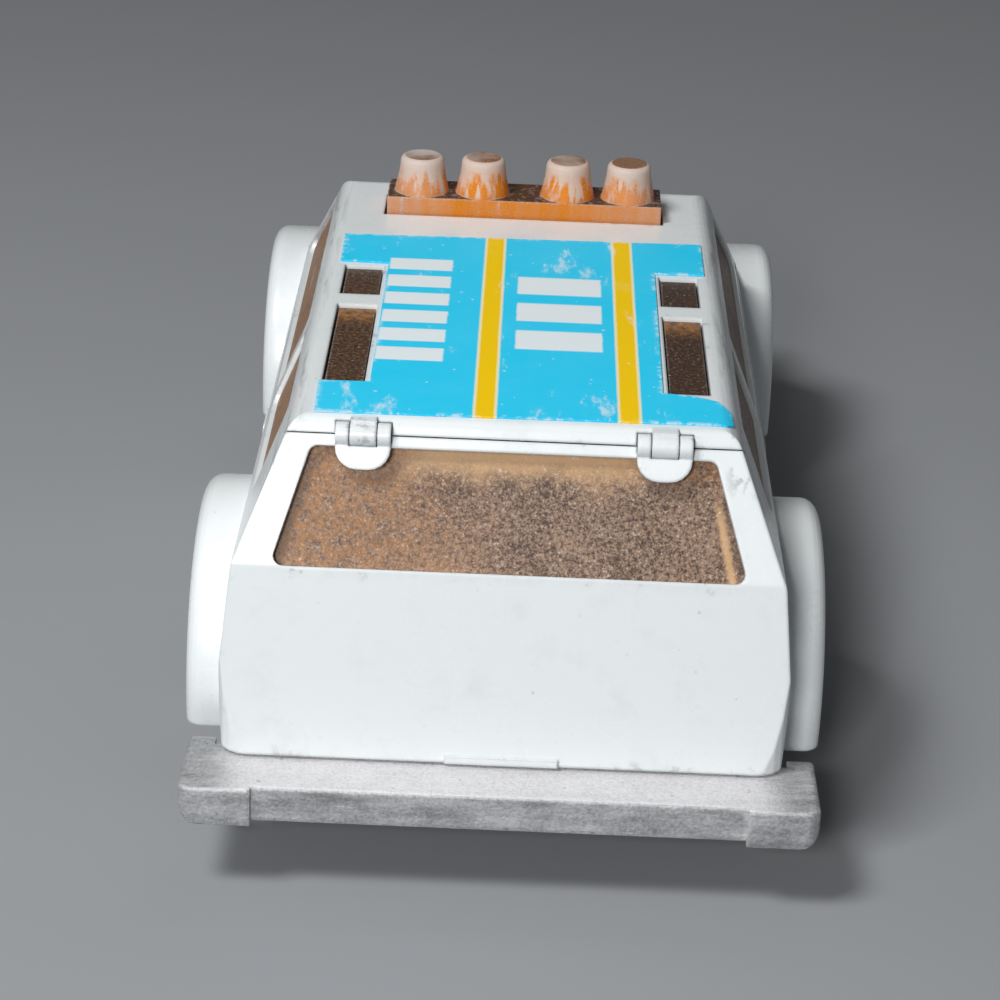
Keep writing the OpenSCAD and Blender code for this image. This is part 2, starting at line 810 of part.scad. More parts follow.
module base_plate() {
    inner = belt_w / 2 - wall - seam;
    narrow = wheel_x - seam - base_edge;
    color("darkgray") difference() {
        union() {
            box([-narrow, narrow], [rear_face_y + wall, front_face_y - wall], [base_z, base_top]);
            box([-inner, inner], [rear_axle_y + arch_r + seam, front_axle_y - arch_r - seam],
                [base_z, base_top]);
            translate([0, rear_face_y + cap_proud, 0]) bumper(rear_ledge - cap_proud);
            translate([0, front_face_y - cap_proud, 0]) mirror([0, 1, 0]) bumper(front_ledge - cap_proud);
            for (y = [rear_axle_y, front_axle_y], x = [-saddle_x, saddle_x]) saddle(x, y);
            grille();
            // Cast relief below: flat plinth in the middle, sump at the front, exhaust pipe at the rear
            box([-overall_w * plinth_share, overall_w * plinth_share],
                [-wheelbase * plinth_l_share, wheelbase * plinth_l_share],
                [base_z - plinth_h, base_z + over]);
            box([-sump_w / 2, sump_w / 2], [front_axle_y - sump_l, front_axle_y - sump_l / 2],
                [base_z - relief_h, base_z + over]);
            intersection() {
                translate([pipe_x, rear_axle_y, base_z]) rotate([90, 0, 0])
                    cylinder(r = pipe_r, h = rear_overhang - rear_ledge);
                box([0, overall_w], [rear_face_y, 0], [base_z - relief_h, base_z + over]);
            }
        }
        for (y = [front_rivet_y, rear_rivet_y])
            translate([0, y, base_z - over]) cylinder(r = rivet_r + rivet_fit, h = base_t + 2 * over);
    }
}

// Seat moulding: floor, two seats, bench, dash and steering wheel

tray_z = wheel_r + axle_r + tray_lift;
floor_z = tray_z + tray_t;

module seat(width, length) {
    back = rounded(
        [[0, 0], [back_t, 0], [back_t, seat_back_h], [0, seat_back_h]],
        [0, 0, seat_edge_r, seat_edge_r]
    );
    pad = rounded([[0, -over], [length, -over], [length, seat_h], [0, seat_h]], [0, 0, seat_edge_r, 0]);
    along_x(pad, width);
    translate([0, -over / 2, 0]) rotate([back_lean, 0, 0]) along_x(back, width);
}

module steering_wheel() {
    translate([-seat_x, cowl_y - dash_back - dash_d, floor_z + dash_h - rim_r / 2]) rotate([rim_tilt, 0, 0]) {
        rotate_extrude() translate([rim_r, 0]) circle(rim_t);
        translate([0, 0, -column_l]) cylinder(r = rim_t, h = column_l);
        for (a = [0, 90]) rotate(a) translate([-rim_r, -rim_t / 2, -rim_t]) cube([2 * rim_r, rim_t, rim_t]);
    }
}

module interior() {
    bench_y = rear_axle_y + load_floor_l / 4;
    front_y = cowl_y - dash_back - dash_d - seat_gap;
    color("dimgray") difference() {
        union() {
            box([-seat_tray_w / 2, seat_tray_w / 2],
                [cross_bar_y + cross_bar_d + seam, front_axle_y + saddle_l / 2], [tray_z, floor_z]);
            translate([0, bench_y, floor_z]) seat(bench_w, seat_l);
            for (x = [-seat_x, seat_x]) translate([x, front_y, floor_z]) seat(seat_w, seat_l);
            box([-seat_tray_w / 2, seat_tray_w / 2], [cowl_y - dash_back - dash_d, cowl_y - dash_back],
                [tray_z, floor_z + dash_h]);
            steering_wheel();
        }
    }
}

// Axles, wheels, hubs and rivets

head_x = wheel_x + wheel_w - hub_d + head_play;

module axle(y) {
    color("lightsteelblue") translate([0, y, wheel_r]) {
        cross_pin(axle_r, -head_x - head_t, 2 * head_x + 2 * head_t);
        mirrored() cross_pin(head_r, head_x, head_t);
    }
}

module front_axle() { axle(front_axle_y); }
module rear_axle() { axle(rear_axle_y); }

// Places a right-hand wheel part, whose axis is Z from the inner face, on its side of an axle
module at_wheel(side, y) {
    translate([0, y, wheel_r]) mirror([side < 0 ? 1 : 0, 0, 0])
        translate([wheel_x, 0, 0]) rotate([0, 90, 0]) children();
}

module wheel(side, y) {
    web_low = inner_recess_d;
    web_top = wheel_w - hub_d;
    bore_r = axle_r + run_fit;
    section = rounded(
        [
            [bore_r, web_low], [inner_recess_r, web_low], [inner_recess_r, 0], [wheel_r, 0],
            [wheel_r, wheel_w], [hub_r, wheel_w], [hub_r, web_top], [bore_r, web_top]
        ],
        [0, 0, 0, tyre_edge_r, tyre_edge_r, 0, 0, 0]
    );
    color("black") at_wheel(side, y) difference() {
        rotate_extrude() polygon(section);
        for (share = tread_shares) rotate_extrude()
            translate([wheel_r - tread_d, wheel_w * share - tread_w / 2]) square([tread_d + over, tread_w]);
    }
}

module wheel_front_left() { wheel(-1, front_axle_y); }
module wheel_front_right() { wheel(1, front_axle_y); }
module wheel_rear_left() { wheel(-1, rear_axle_y); }
module wheel_rear_right() { wheel(1, rear_axle_y); }

module hub(side, y) {
    seat_r = hub_r - rivet_fit;
    hole_r = head_r + 2 * head_play;
    section = [
        [hole_r, 0], [seat_r, 0], [seat_r, hub_t], [hub_r - wall / 2, hub_t],
        [hole_r + wall / 2, hub_t - hub_dish], [hole_r, hub_t - hub_dish]
    ];
    color("gainsboro") at_wheel(side, y) translate([0, 0, wheel_w - hub_d]) difference() {
        rotate_extrude() polygon(section);
        for (i = [0 : hub_hole_count - 1]) rotate(i * 360 / hub_hole_count)
            translate([hub_r * hub_hole_share, 0, -over]) cylinder(r = hub_hole_r, h = hub_t + 2 * over);
    }
}

module hub_front_left() { hub(-1, front_axle_y); }
module hub_front_right() { hub(1, front_axle_y); }
module hub_rear_left() { hub(-1, rear_axle_y); }
module hub_rear_right() { hub(1, rear_axle_y); }

module rivet(y) {
    color("silver") translate([0, y, base_z - rivet_head_t]) {
        cylinder(r = rivet_head_r, h = rivet_head_t);
        cylinder(r = rivet_r, h = rivet_head_t + base_t + rivet_bite);
    }
}

module front_rivet() { rivet(front_rivet_y); }
module rear_rivet() { rivet(rear_rivet_y); }

body_shell();
tailgate();
tailgate_glass();
hinge_pins();
glazing();
roof_label();
base_plate();
interior();
front_axle();
rear_axle();
wheel_front_left();
wheel_front_right();
wheel_rear_left();
wheel_rear_right();
hub_front_left();
hub_front_right();
hub_rear_left();
hub_rear_right();
front_rivet();
rear_rivet();
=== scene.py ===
"""Toy police car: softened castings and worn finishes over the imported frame."""

import math

import bmesh
import bpy
from bpy.props import FloatProperty, FloatVectorProperty, PointerProperty
from mathutils import Matrix, Vector
from mathutils.bvhtree import BVHTree


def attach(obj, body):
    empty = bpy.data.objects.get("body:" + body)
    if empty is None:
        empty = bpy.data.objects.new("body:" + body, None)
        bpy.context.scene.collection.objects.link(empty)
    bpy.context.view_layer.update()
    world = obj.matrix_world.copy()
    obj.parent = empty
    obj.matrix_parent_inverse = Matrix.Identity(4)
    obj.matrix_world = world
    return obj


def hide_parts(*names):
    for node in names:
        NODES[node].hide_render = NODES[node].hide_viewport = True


bl_info = {
    "name": "Toy Police Car",
    "version": (1, 0, 0),
    "blender": (4, 5, 0),
    "location": "View3D > Sidebar > Toy Car",
    "description": "Softens the castings of a toy police car and gives each piece its worn finish",
    "category": "Object",
}

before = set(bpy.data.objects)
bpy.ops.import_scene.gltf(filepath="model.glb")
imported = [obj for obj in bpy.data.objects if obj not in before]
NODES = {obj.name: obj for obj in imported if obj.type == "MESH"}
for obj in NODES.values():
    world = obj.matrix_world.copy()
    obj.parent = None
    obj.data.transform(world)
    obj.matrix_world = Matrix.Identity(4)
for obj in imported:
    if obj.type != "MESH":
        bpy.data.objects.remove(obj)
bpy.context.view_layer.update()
MM = 0.001
WHEELS = ("front_left", "front_right", "rear_left", "rear_right")

# Places on the car between which a finish, a painted light or a painted shade goes from nothing to
# full
ROOF_SIDE = (9.3 * MM, 10.2 * MM)
ROOF_SHOULDER = (17.2 * MM, 18.4 * MM)
PANE_LIT_LEFT = (3 * MM, 14 * MM)
PANE_LIT_TOP = (18.9 * MM, 20.2 * MM)
PANE_GLOW_TOP = (18.2 * MM, 19.6 * MM)
PANE_GLOW_MIDDLE = (6.5 * MM, 4 * MM)
PANE_GLINT_WIDTH = (0.3 * MM, 0.05 * MM)
PANE_GLINT_TOP = (17.6 * MM, 16.2 * MM)
# Painted shade along the rear pane's sides
PANE_SHADED_SIDE = (10 * MM, 10.8 * MM)
ROOF_PANE_SIDE = (2 * MM, -2 * MM)
GLEAM_REAR = (-13.2 * MM, -11 * MM)
GLEAM_FRONT = (-9.6 * MM, -10 * MM)
LIGHT_BAR_ENDS = (2.5 * MM, 7 * MM)
DOME_FOOT = (21 * MM, 21.4 * MM)
# Painted highlight round the top rim of the domes
DOME_RIM_HIGHLIGHT = (22.3 * MM, 22.7 * MM)
DOME_TOP = (22.6 * MM, 22.8 * MM)
LEDGE_ENDS = (14.4 * MM, 12.6 * MM)

# Single places on the car
REAR_PANE_FROM = -22 * MM
REAR_PANE_SILL = 14.2 * MM
REAR_PANE_EDGE = 10.05 * MM
GLEAM_OUTSIDE = 5 * MM

# The label in millimetres: its outline, the cuts where it bends, and its groups of white bars
LABEL_OUTLINE = (
    (9.41, 0.0),
    (9.4, -4.55),
    (6.85, -4.62),
    (6.8, -20.55),
    (8.2, -20.75),
    (9.3, -21.3),
    (9.85, -22.3),
    (9.9, -23.6),
    (9.6, -23.95),
    (-9.1, -24.25),
    (-9.2, -20.68),
    (-6.8, -20.6),
    (-6.85, -4.6),
    (-9.33, -4.5),
    (-9.38, -0.5),
)
LABEL_BENDS = (
    (0, (9.0, 9.2, 9.35, 9.5, 9.65, 9.8)),
    (1, (-23.4, -23.6, -23.8, -24.0, -24.15)),
)
LABEL_BARS = (
    {"middle": -5.15, "half": 1.6, "count": 6, "first": -17.0, "pitch": 2.45},
    {"middle": 1.95, "half": 2.1, "count": 3, "first": -14.6, "pitch": 3.7},
)

# The label's print: half of a white bar's share of its pitch, and how soft the edges are
WHITE_BAR_FILL = 0.33
STRIPE_BLUR = 0.05 * MM
WHITE_BAR_BLUR = 0.06 * MM

# The stage: half the floor's width, where the lamps point, and the rim lamp's share of the key
FLOOR_HALF = 1.5
LAMP_AIM = Vector((0.0, 0.0, 0.01))
RIM_SHARE = 0.06


# Shader maths


class Sock:
    """A shader socket that takes part in Python arithmetic through Math nodes."""

    def __init__(self, finish, socket):
        self.finish = finish
        self.socket = socket

    def math(self, operation, first, second=0.0):
        return self.finish.node("ShaderNodeMath", {"operation": operation}, [first, second])

    def __add__(self, other):
        return self.math("ADD", self, other)

    def __sub__(self, other):
        return self.math("SUBTRACT", self, other)

    def __mul__(self, other):
        return self.math("MULTIPLY", self, other)

    def __truediv__(self, other):
        return self.math("DIVIDE", self, other)

    def __pow__(self, other):
        return self.math("POWER", self, other)

    def __rsub__(self, other):
        return self.math("SUBTRACT", other, self)

    def __lt__(self, other):
        return self.math("LESS_THAN", self, other)

    def __gt__(self, other):
        return self.math("GREATER_THAN", self, other)

    def __abs__(self):
        return self.math("ABSOLUTE", self)

    __radd__ = __add__
    __rmul__ = __mul__

    def least(self, other):
        return self.math("MINIMUM", self, other)

    def most(self, other):
        return self.math("MAXIMUM", self, other)

    def step(self, low, high):
        """Smooth rise from 0 at low to 1 at high; low may be the larger."""
        smooth = {"interpolation_type": "SMOOTHSTEP"}
        return self.finish.node("ShaderNodeMapRange", smooth, [self, low, high, 0.0, 1.0])


class Finish:
    """One material under construction, with a Principled shader at its end."""

    def __init__(self, name):
        self.material = bpy.data.materials.new(name)
        self.material.use_nodes = True
        self.tree = self.material.node_tree
        self.tree.nodes.clear()

    def node(self, kind, settings=None, values=(), out=0):
        """Adds a node: its settings, then its sockets' values or links, by index or name."""
        made = self.tree.nodes.new(kind)
        for key, value in (settings or {}).items():
            setattr(made, key, value)
        pairs = values.items() if isinstance(values, dict) else enumerate(values)
        for key, value in pairs:
            if isinstance(value, Sock):
                self.tree.links.new(value.socket, made.inputs[key])
            else:
                made.inputs[key].default_value = value
        return Sock(self, made.outputs[out]) if made.outputs else None

    def place(self):
        return self.node("ShaderNodeTexCoord", out="Object")

    def split(self, vector):
        first = self.node("ShaderNodeSeparateXYZ", None, [vector])
        return [first] + [Sock(self, first.socket.node.outputs[i]) for i in (1, 2)]

    def stretched(self, vector, scale, turn=(0.0, 0.0, 0.0)):
        values = {"Vector": vector, "Scale": scale, "Rotation": turn}
        return self.node("ShaderNodeMapping", None, values)

    def noise(self, vector, scale, detail=3.0, rough=0.5):
        values = {"Vector": vector, "Scale": scale, "Detail": detail, "Roughness": rough}
        return self.node("ShaderNodeTexNoise", None, values)

    def specks(self, vector, scale, size):
        """Scattered specks, most of them small, the largest with a radius of size in cells."""
        values = {"Vector": vector, "Scale": scale, "Randomness": 1.0}
        cell = self.node("ShaderNodeTexVoronoi", None, values)
        chance = self.split(Sock(self, cell.socket.node.outputs["Color"]))[0]
        reach = chance ** 3.0 * size + 0.01
        return cell.step(reach, reach * 0.6)

    def scratches(self, vector, scale, turn, size):
        """Thin straight marks, about twenty times as long as wide."""
        drawn_out = self.stretched(vector, (1.0, 0.05, 1.0), (0.0, 0.0, turn))
        return self.specks(drawn_out, scale, size)

    def mix(self, low, high, factor):
        values = {0: factor, 6: low, 7: high}
        return self.node("ShaderNodeMix", {"data_type": "RGBA"}, values, out=2)

    def rounded(self, radius):
        """The normal of a softly rounded edge, and a mask that rises towards 1 on sharp edges."""
        soft = self.node("ShaderNodeBevel", {"samples": 4}, {"Radius": radius})
        flat = self.node("ShaderNodeNewGeometry", out="Normal")
        product = {"operation": "DOT_PRODUCT"}
        return soft, 1 - self.node("ShaderNodeVectorMath", product, [soft, flat], out="Value")

    def near_edge(self, reach):
        """Rises from 0 on broad faces towards 1 on outer edges, found from inside the wall."""
        inward = {"samples": 5, "inside": True}
        return 1 - self.node("ShaderNodeAmbientOcclusion", inward, {"Distance": reach}, out="AO")

    def bump(self, height, strength, depth, normal=None):
        values = {"Height": height, "Strength": strength, "Distance": depth}
        if normal is not None:
            values["Normal"] = normal
        return self.node("ShaderNodeBump", None, values)

    def close(self, **sockets):
        """Ends the material in a Principled shader; underscores stand for spaces."""
        named = {key.replace("_", " "): value for key, value in sockets.items()}
        shader = self.node("ShaderNodeBsdfPrincipled", None, named)
        self.node("ShaderNodeOutputMaterial", None, [shader])
        return self.material


def rgba(colour):
    return (colour[0], colour[1], colour[2], 1.0)


# Finishes


def white_enamel(p):
    """Thick white enamel with handling marks, grey rubbed edges and chips down to the zinc."""
    f = Finish("white_enamel")
    at = f.place()
    x, _, z = f.split(at)
    cloud = f.noise(at, 170.0, 4.0, 0.6)
    fine = f.noise(at, 2200.0, 4.0, 0.65)
    soft = f.rounded(p.soft_edge)[0]
    edge = f.near_edge(p.chip_reach).least(0.47)
    blotch = f.noise(at, 650.0, 4.0, 0.7)
    rubbed = (edge * 1.3 + (blotch - 0.5) * 1.6).step(0.3, 1.0)
    chips = (edge * 1.5 + (fine - 0.5) * 1.1 + (blotch - 0.5) * 2.0).step(0.9, 1.02)
    pits = f.specks(at, 1500.0, 0.15) * cloud.step(0.46, 0.6)
    smudge = f.noise(f.stretched(at, (1.0, 0.35, 1.0)), 420.0, 5.0, 0.7).step(0.5, 0.8)
    hairs = f.scratches(at, 900.0, 0.5, 0.1)
    rail = abs(x).step(*ROOF_SIDE) * z.step(*ROOF_SHOULDER)
    drag = f.noise(f.stretched(at, (1.0, 0.12, 1.0)), 1500.0, 3.0, 0.6).step(0.52, 0.64)
    scuffs = drag * rail * (blotch + 0.2)
    seams = (blotch * fine).step(0.33, 0.42) * edge * 0.5
    dirt = (pits * 0.25).most(scuffs * 0.6).most(seams)
    paint = f.mix(rgba(p.paint), rgba(p.smudge), smudge * 0.3 + rubbed * 0.35 + hairs * 0.3)
    paint = f.mix(paint, rgba(p.grime), dirt)
    paint = f.mix(paint, rgba(p.zinc), chips * 0.9)
    rough = 0.22 + cloud * 0.12 + smudge * 0.16 + chips * 0.25
    normal = f.bump(f.noise(at, 900.0, 2.0) * 0.7 + fine * 0.25, 0.28, 0.06 * MM, soft)
    return f.close(
        Base_Color=paint,
        Roughness=rough,
        Metallic=chips * 0.5,
        Normal=normal,
        Coat_Weight=0.3,
        Coat_Roughness=0.14,
    )


def amber_plastic(p):
    """Amber moulding: dusty panes below the roof with painted light and shade, a bright bar with
    rubbed white domes and painted highlights above.
    """
    f = Finish("amber_plastic")
    at = f.place()
    x, y, z = f.split(at)
    cloud = f.noise(at, 300.0, 4.0, 0.6)
    fine = f.noise(at, 5200.0, 3.0, 0.65)
    grain = f.noise(at, 11000.0, 2.0)
    soft, edge = f.rounded(0.18 * MM)
    mottle = (fine - 0.5) * 3.2 + (grain - 0.5) * 2.4 + (cloud - 0.5) * 1.0 + 0.52
    lines = f.scratches(at, 700.0, 0.9, 0.09).most(f.scratches(at, 800.0, -0.7, 0.08))
    runs = f.noise(f.stretched(at, (1.0, 1.0, 0.12)), 1900.0, 3.0, 0.6)
    up = f.split(f.node("ShaderNodeNewGeometry", out="Normal"))[2]
    bar = z > p.bar_from
    rear = y < REAR_PANE_FROM
    roof = z > p.roof_from
    above_sill = z - REAR_PANE_SILL
    clots = f.noise(at, 2300.0, 3.0, 0.6)
    dust = (fine + grain).step(1.2, 1.36).most((clots + grain).step(1.22, 1.36)) * (1 - bar)
    # Painted light: warm amber where light comes through the panes, on the left and along the top
    lit = (cloud * 10 * MM - x).step(*PANE_LIT_LEFT)
    lit = lit.most((z + cloud * 3 * MM).step(*PANE_LIT_TOP))
    pane = f.mix(rgba(p.pane), rgba(p.haze), mottle)
    pane = f.mix(pane, rgba(p.warm), lit * (0.42 + (clots - 0.5) * 2.5))
    # Painted light: a glow along the rear pane's top edge and a glint near its right edge
    glow = (z + cloud * 2.4 * MM).step(*PANE_GLOW_TOP) * abs(x - 0.5 * MM).step(*PANE_GLOW_MIDDLE)
    glint = abs(x - REAR_PANE_EDGE + above_sill * 0.25).step(*PANE_GLINT_WIDTH)
    glint = glint * z.step(*PANE_GLINT_TOP)
    # Painted shade: the rear pane darkened along its sides, where its frame shades it
    side = (abs(x) + above_sill * 0.27).step(*PANE_SHADED_SIDE)
    pane = f.mix(pane, rgba(p.edge_glow), glow.most(glint) * rear * 0.75)
    pane = f.mix(pane, rgba(p.pane), side * rear * 0.7)
    dark = 0.96 - (fine - 0.5) * 1.6 - x.step(*ROOF_PANE_SIDE) * 0.12
    pane = f.mix(pane, rgba(p.roof_pane), roof * dark)
    # Painted highlight: a warm gleam on the outer parts of the roof panes
    gleam = y.step(*GLEAM_REAR) * y.step(*GLEAM_FRONT) * roof * (abs(x) > GLEAM_OUTSIDE)
    pane = f.mix(pane, rgba(p.warm), gleam * (0.55 + (clots - 0.5) * 2.5))
    # Painted light: the bar paler towards its ends and in runs, in the colour of light coming
    # through the amber
    paler = (runs - 0.42) * 1.3 + abs(x).step(*LIGHT_BAR_ENDS) * 0.6
    amber = f.mix(rgba(p.bar), rgba(p.glow), paler)
    between = up.step(0.7, 0.9) * z.step(p.bar_top, p.bar_top - 0.1 * MM)
    amber = f.mix(amber, rgba(p.roof_pane), between * 0.92)
    top = up.step(0.93, 0.985) * z.step(*DOME_TOP)
    amber = f.mix(amber, rgba(p.dome_top), top * 0.9)
    ragged = z + (fine - 0.5) * 1.2 * MM + (runs - 0.5) * 5 * MM
    # Rubbed frost on the domes, with painted highlights: a white rim at the top and vertical white
    # streaks
    frost_and_highlight = (ragged.step(p.frost_from, p.frost_full) * 0.75).most(z.step(*DOME_RIM_HIGHLIGHT) * 0.85)
    highlight_streaks = f.noise(f.stretched(at, (1.0, 1.0, 0.05)), 2600.0, 2.0).step(0.56, 0.63)
    highlight_streaks = highlight_streaks * z.step(*DOME_FOOT)
    frost_and_highlight = frost_and_highlight.most(highlight_streaks * 0.75) * (1 - top * cloud.step(0.3, 0.6))
    # White sharp edges: partly rubbed plastic, partly painted highlight
    rubbed = frost_and_highlight.most((edge * 2.2 + (fine - 0.5) * 1.4).step(0.42, 0.75))
    colour = f.mix(f.mix(pane, amber, bar), rgba(p.frost_and_highlight), rubbed * 0.85)
    colour = f.mix(colour, rgba(p.frost_and_highlight), (dust * 0.7).most(lines * 0.5))
    rough = 0.3 + fine * 0.2 + rubbed * 0.3 + dust * 0.2 - bar * 0.14
    normal = f.bump(fine * 0.5 + runs * bar, 0.25, 0.05 * MM, soft)
    return f.close(
        Base_Color=colour,
        Roughness=rough,
        Normal=normal,
        Transmission_Weight=p.clear,
        IOR=1.46,
        Specular_IOR_Level=0.12,
    )


def printed_label(p):
    """Blue vinyl with two bordered stripes and plain white bars, rubbed white at its edges."""
    f = Finish("printed_label")
    at = f.place()
    x, y, _ = f.split(at)
    cloud = f.noise(at, 240.0, 4.0, 0.65)
    fine = f.noise(at, 2400.0, 6.0, 0.7)
    ragged = (fine - 0.5) * 0.16 * MM
    ink = f.mix(rgba(p.blue), rgba(p.blue_pale), (cloud - 0.35) * 0.9 + (fine - 0.5) * 0.4)
    for centre in (p.stripe_left, p.stripe_right):
        off = abs(x - centre) + ragged * 0.5
        edged = off.step(p.border_half + STRIPE_BLUR, p.border_half - STRIPE_BLUR)
        ink = f.mix(ink, rgba(p.border), edged)
        tone = f.mix(rgba(p.stripe), rgba(p.border), cloud.step(0.55, 0.9) * 0.3)
        ink = f.mix(ink, tone, off.step(p.stripe_half + STRIPE_BLUR, p.stripe_half - STRIPE_BLUR))
    for bars in LABEL_BARS:
        half = bars["half"] * MM
        across = abs(x - bars["middle"] * MM) + ragged
        along = (y - bars["first"] * MM) / (bars["pitch"] * MM)
        beat = abs(f.node("ShaderNodeMath", {"operation": "FRACT"}, [along + 0.5]) - 0.5)
        wide = across.step(half + WHITE_BAR_BLUR, half - WHITE_BAR_BLUR)
        deep = beat.step(WHITE_BAR_FILL + 0.03, WHITE_BAR_FILL - 0.03)
        span = (along > -0.5) * (along < bars["count"] - 0.5)
        ink = f.mix(ink, rgba(p.white), wide * deep * span * 0.95)
    smeared = f.stretched(at, (1.0, 0.3, 1.0), (0.0, 0.0, 0.5))
    rub = f.noise(smeared, 620.0, 5.0, 0.75).step(0.58, 0.7)
    rim = (f.rounded(0.4 * MM)[1] * 5).least(1.0)
    worn = rim * (fine * 0.7 + cloud * 0.5).step(0.59, 0.65)
    hairs = f.scratches(at, 800.0, 0.7, 0.11).most(f.scratches(at, 900.0, -0.4, 0.1))
    specks = f.specks(at, 1700.0, 0.2)
    marks = (rub * 0.6).most(worn * 0.9).most(specks * 0.45).most(hairs * 0.5)
    ink = f.mix(ink, rgba(p.white), marks)
    rough = 0.4 + cloud * 0.15 + marks * 0.2
    normal = f.bump(fine * 0.4 + cloud * 1.2, 0.3, 0.05 * MM)
    return f.close(Base_Color=ink, Roughness=rough, Normal=normal, Specular_IOR_Level=0.15)


def bare_zinc(p):
    """Bare cast zinc: paler on faces that look up, bright on edges where rubbed and with a painted
    highlight, dark and grainy on faces and ends.
    """
    f = Finish("bare_zinc")
    at = f.place()
    x = f.split(at)[0]
    cloud = f.noise(at, 420.0, 4.0, 0.65)
    grain = f.noise(at, 7000.0, 3.0, 0.7)
    flow = f.noise(f.stretched(at, (0.2, 1.0, 1.0)), 1500.0, 3.0, 0.7)
    soft, edge = f.rounded(0.34 * MM)
    up = f.split(f.node("ShaderNodeNewGeometry", out="Normal"))[2]
    # Paler zinc on faces that look up, towards the middle of the car
    ledge = up.step(0.5, 0.9) * (abs(x) + cloud * 2 * MM).step(*LEDGE_ENDS)
    flecks = (grain + flow).step(1.22, 1.42)
    # Bright edges: partly rubbed zinc, partly a painted highlight; the flecks are the zinc's own
    bright = (edge * 3.4 + (grain - 0.5) * 1.6).step(0.3, 0.65).most(flecks * 0.6)
    pits = f.specks(at, 2300.0, 0.34) * cloud.step(0.42, 0.6)
    patches = (cloud - 0.5) * 1.4 + (grain - 0.5) * 1.6 + (flow - 0.5) * 1.8 + 0.5
    colour = f.mix(rgba(p.zinc_dark), rgba(p.zinc), patches)
    colour = f.mix(colour, rgba(p.zinc_upward_faces), ledge * (0.75 + (grain - 0.5) * 0.9))
    colour = f.mix(colour, rgba(p.zinc_rubbed_and_highlight), bright * 0.85)
    colour = f.mix(colour, rgba(p.grime), pits * 0.45)
    rough = 0.38 + grain * 0.25 + cloud * 0.1 - bright * 0.12 - ledge * 0.05
    normal = f.bump(grain * 0.9 + flow * 0.5, 0.7, 0.08 * MM, soft)
    return f.close(Base_Color=colour, Roughness=rough, Metallic=0.35, Normal=normal)


def moulded_plastic(name, colour, pale, rough):
    """Moulded plastic with a fine grain, paler where it has been rubbed."""
    f = Finish(name)
    at = f.place()
    cloud = f.noise(at, 260.0, 4.0, 0.6)
    grain = f.noise(at, 3200.0, 4.0, 0.7)
    soft, edge = f.rounded(0.15 * MM)
    rubbed = (edge * 1.8 + (grain - 0.5) * 0.9 + (cloud - 0.5) * 0.6).step(0.35, 0.8)
    tone = f.mix(rgba(colour), rgba(pale), rubbed * 0.6 + (cloud - 0.35) * 0.3)
    tone = f.mix(tone, rgba(pale), f.specks(at, 2400.0, 0.25) * 0.5)
    normal = f.bump(grain, 0.35, 0.05 * MM, soft)
    return f.close(Base_Color=tone, Roughness=rough + grain * 0.2 + rubbed * 0.1, Normal=normal)


def bright_metal(name, colour, dull, rough, lay):
    """Bright metal with drawn or turned lines and a little tarnish."""
    f = Finish(name)
    at = f.place()
    cloud = f.noise(at, 620.0, 4.0, 0.65)
    lines = f.noise(f.stretched(at, lay), 1.0, 3.0, 0.6)
    soft, edge = f.rounded(0.1 * MM)
    tone = f.mix(rgba(colour), rgba(dull), (cloud - 0.3) * 0.9 + (lines - 0.5) * 0.4 - edge)
    normal = f.bump(lines + cloud * 0.3, 0.3, 0.03 * MM, soft)
    rough = rough + cloud * 0.2 + lines * 0.06
    return f.close(Base_Color=tone, Roughness=rough, Metallic=0.95, Normal=normal)


def plain_floor(p):
    """Pale sweep with a barely seen mottle."""
    f = Finish("pale_floor")
    cloud = f.noise(f.place(), 14.0, 3.0, 0.6)
    tone = f.mix(rgba(p.floor), rgba([c * 0.94 for c in p.floor]), cloud)
    return f.close(Base_Color=tone, Roughness=0.75, Specular_IOR_Level=0.2)


# Shapes


def dress(name, material):
    """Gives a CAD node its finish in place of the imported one."""
    mesh = NODES[name].data
    mesh.materials.clear()
    mesh.materials.append(material)


def stand_in(bm, name, body, material, *nodes):
    """Turns a finished bmesh into a piece that rides a body and stands for CAD nodes."""
    mesh = bpy.data.meshes.new(name)
    bm.to_mesh(mesh)
    bm.free()
    mesh.materials.append(material)
    piece = bpy.data.objects.new(name, mesh)
    bpy.context.scene.collection.objects.link(piece)
    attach(piece, body)
    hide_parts(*nodes)


def sheet(corners, cuts):
    """A flat outline with its corners in millimetres, cut across where it has to bend."""
    bm = bmesh.new()
    bm.faces.new([bm.verts.new(Vector((x, y, 0.0)) * MM) for x, y in corners])
    for axis, places in cuts:
        for place in places:
            side = Vector((0.0, 0.0, 0.0))
            side[axis] = 1.0
            geom = bm.verts[:] + bm.edges[:] + bm.faces[:]
            bmesh.ops.bisect_plane(
                bm, geom=geom, dist=0.0001 * MM, plane_co=side * place * MM, plane_no=side
            )
    return bm


def laid_on(bm, node, lift):
    """Lays a sheet down on a CAD node, lift above it."""
    ground = bmesh.new()
    ground.from_mesh(NODES[node].data)
    tree = BVHTree.FromBMesh(ground)
    down = Vector((0.0, 0.0, -1.0))
    for vert in bm.verts:
        hit = tree.ray_cast(Vector((vert.co.x, vert.co.y, 1.0)), down)[0]
        if hit is None:
            raise RuntimeError("the sheet reaches past " + node)
        bmesh.ops.translate(bm, verts=[vert], vec=(0.0, 0.0, hit.z + lift - vert.co.z))
    ground.free()


# Settings


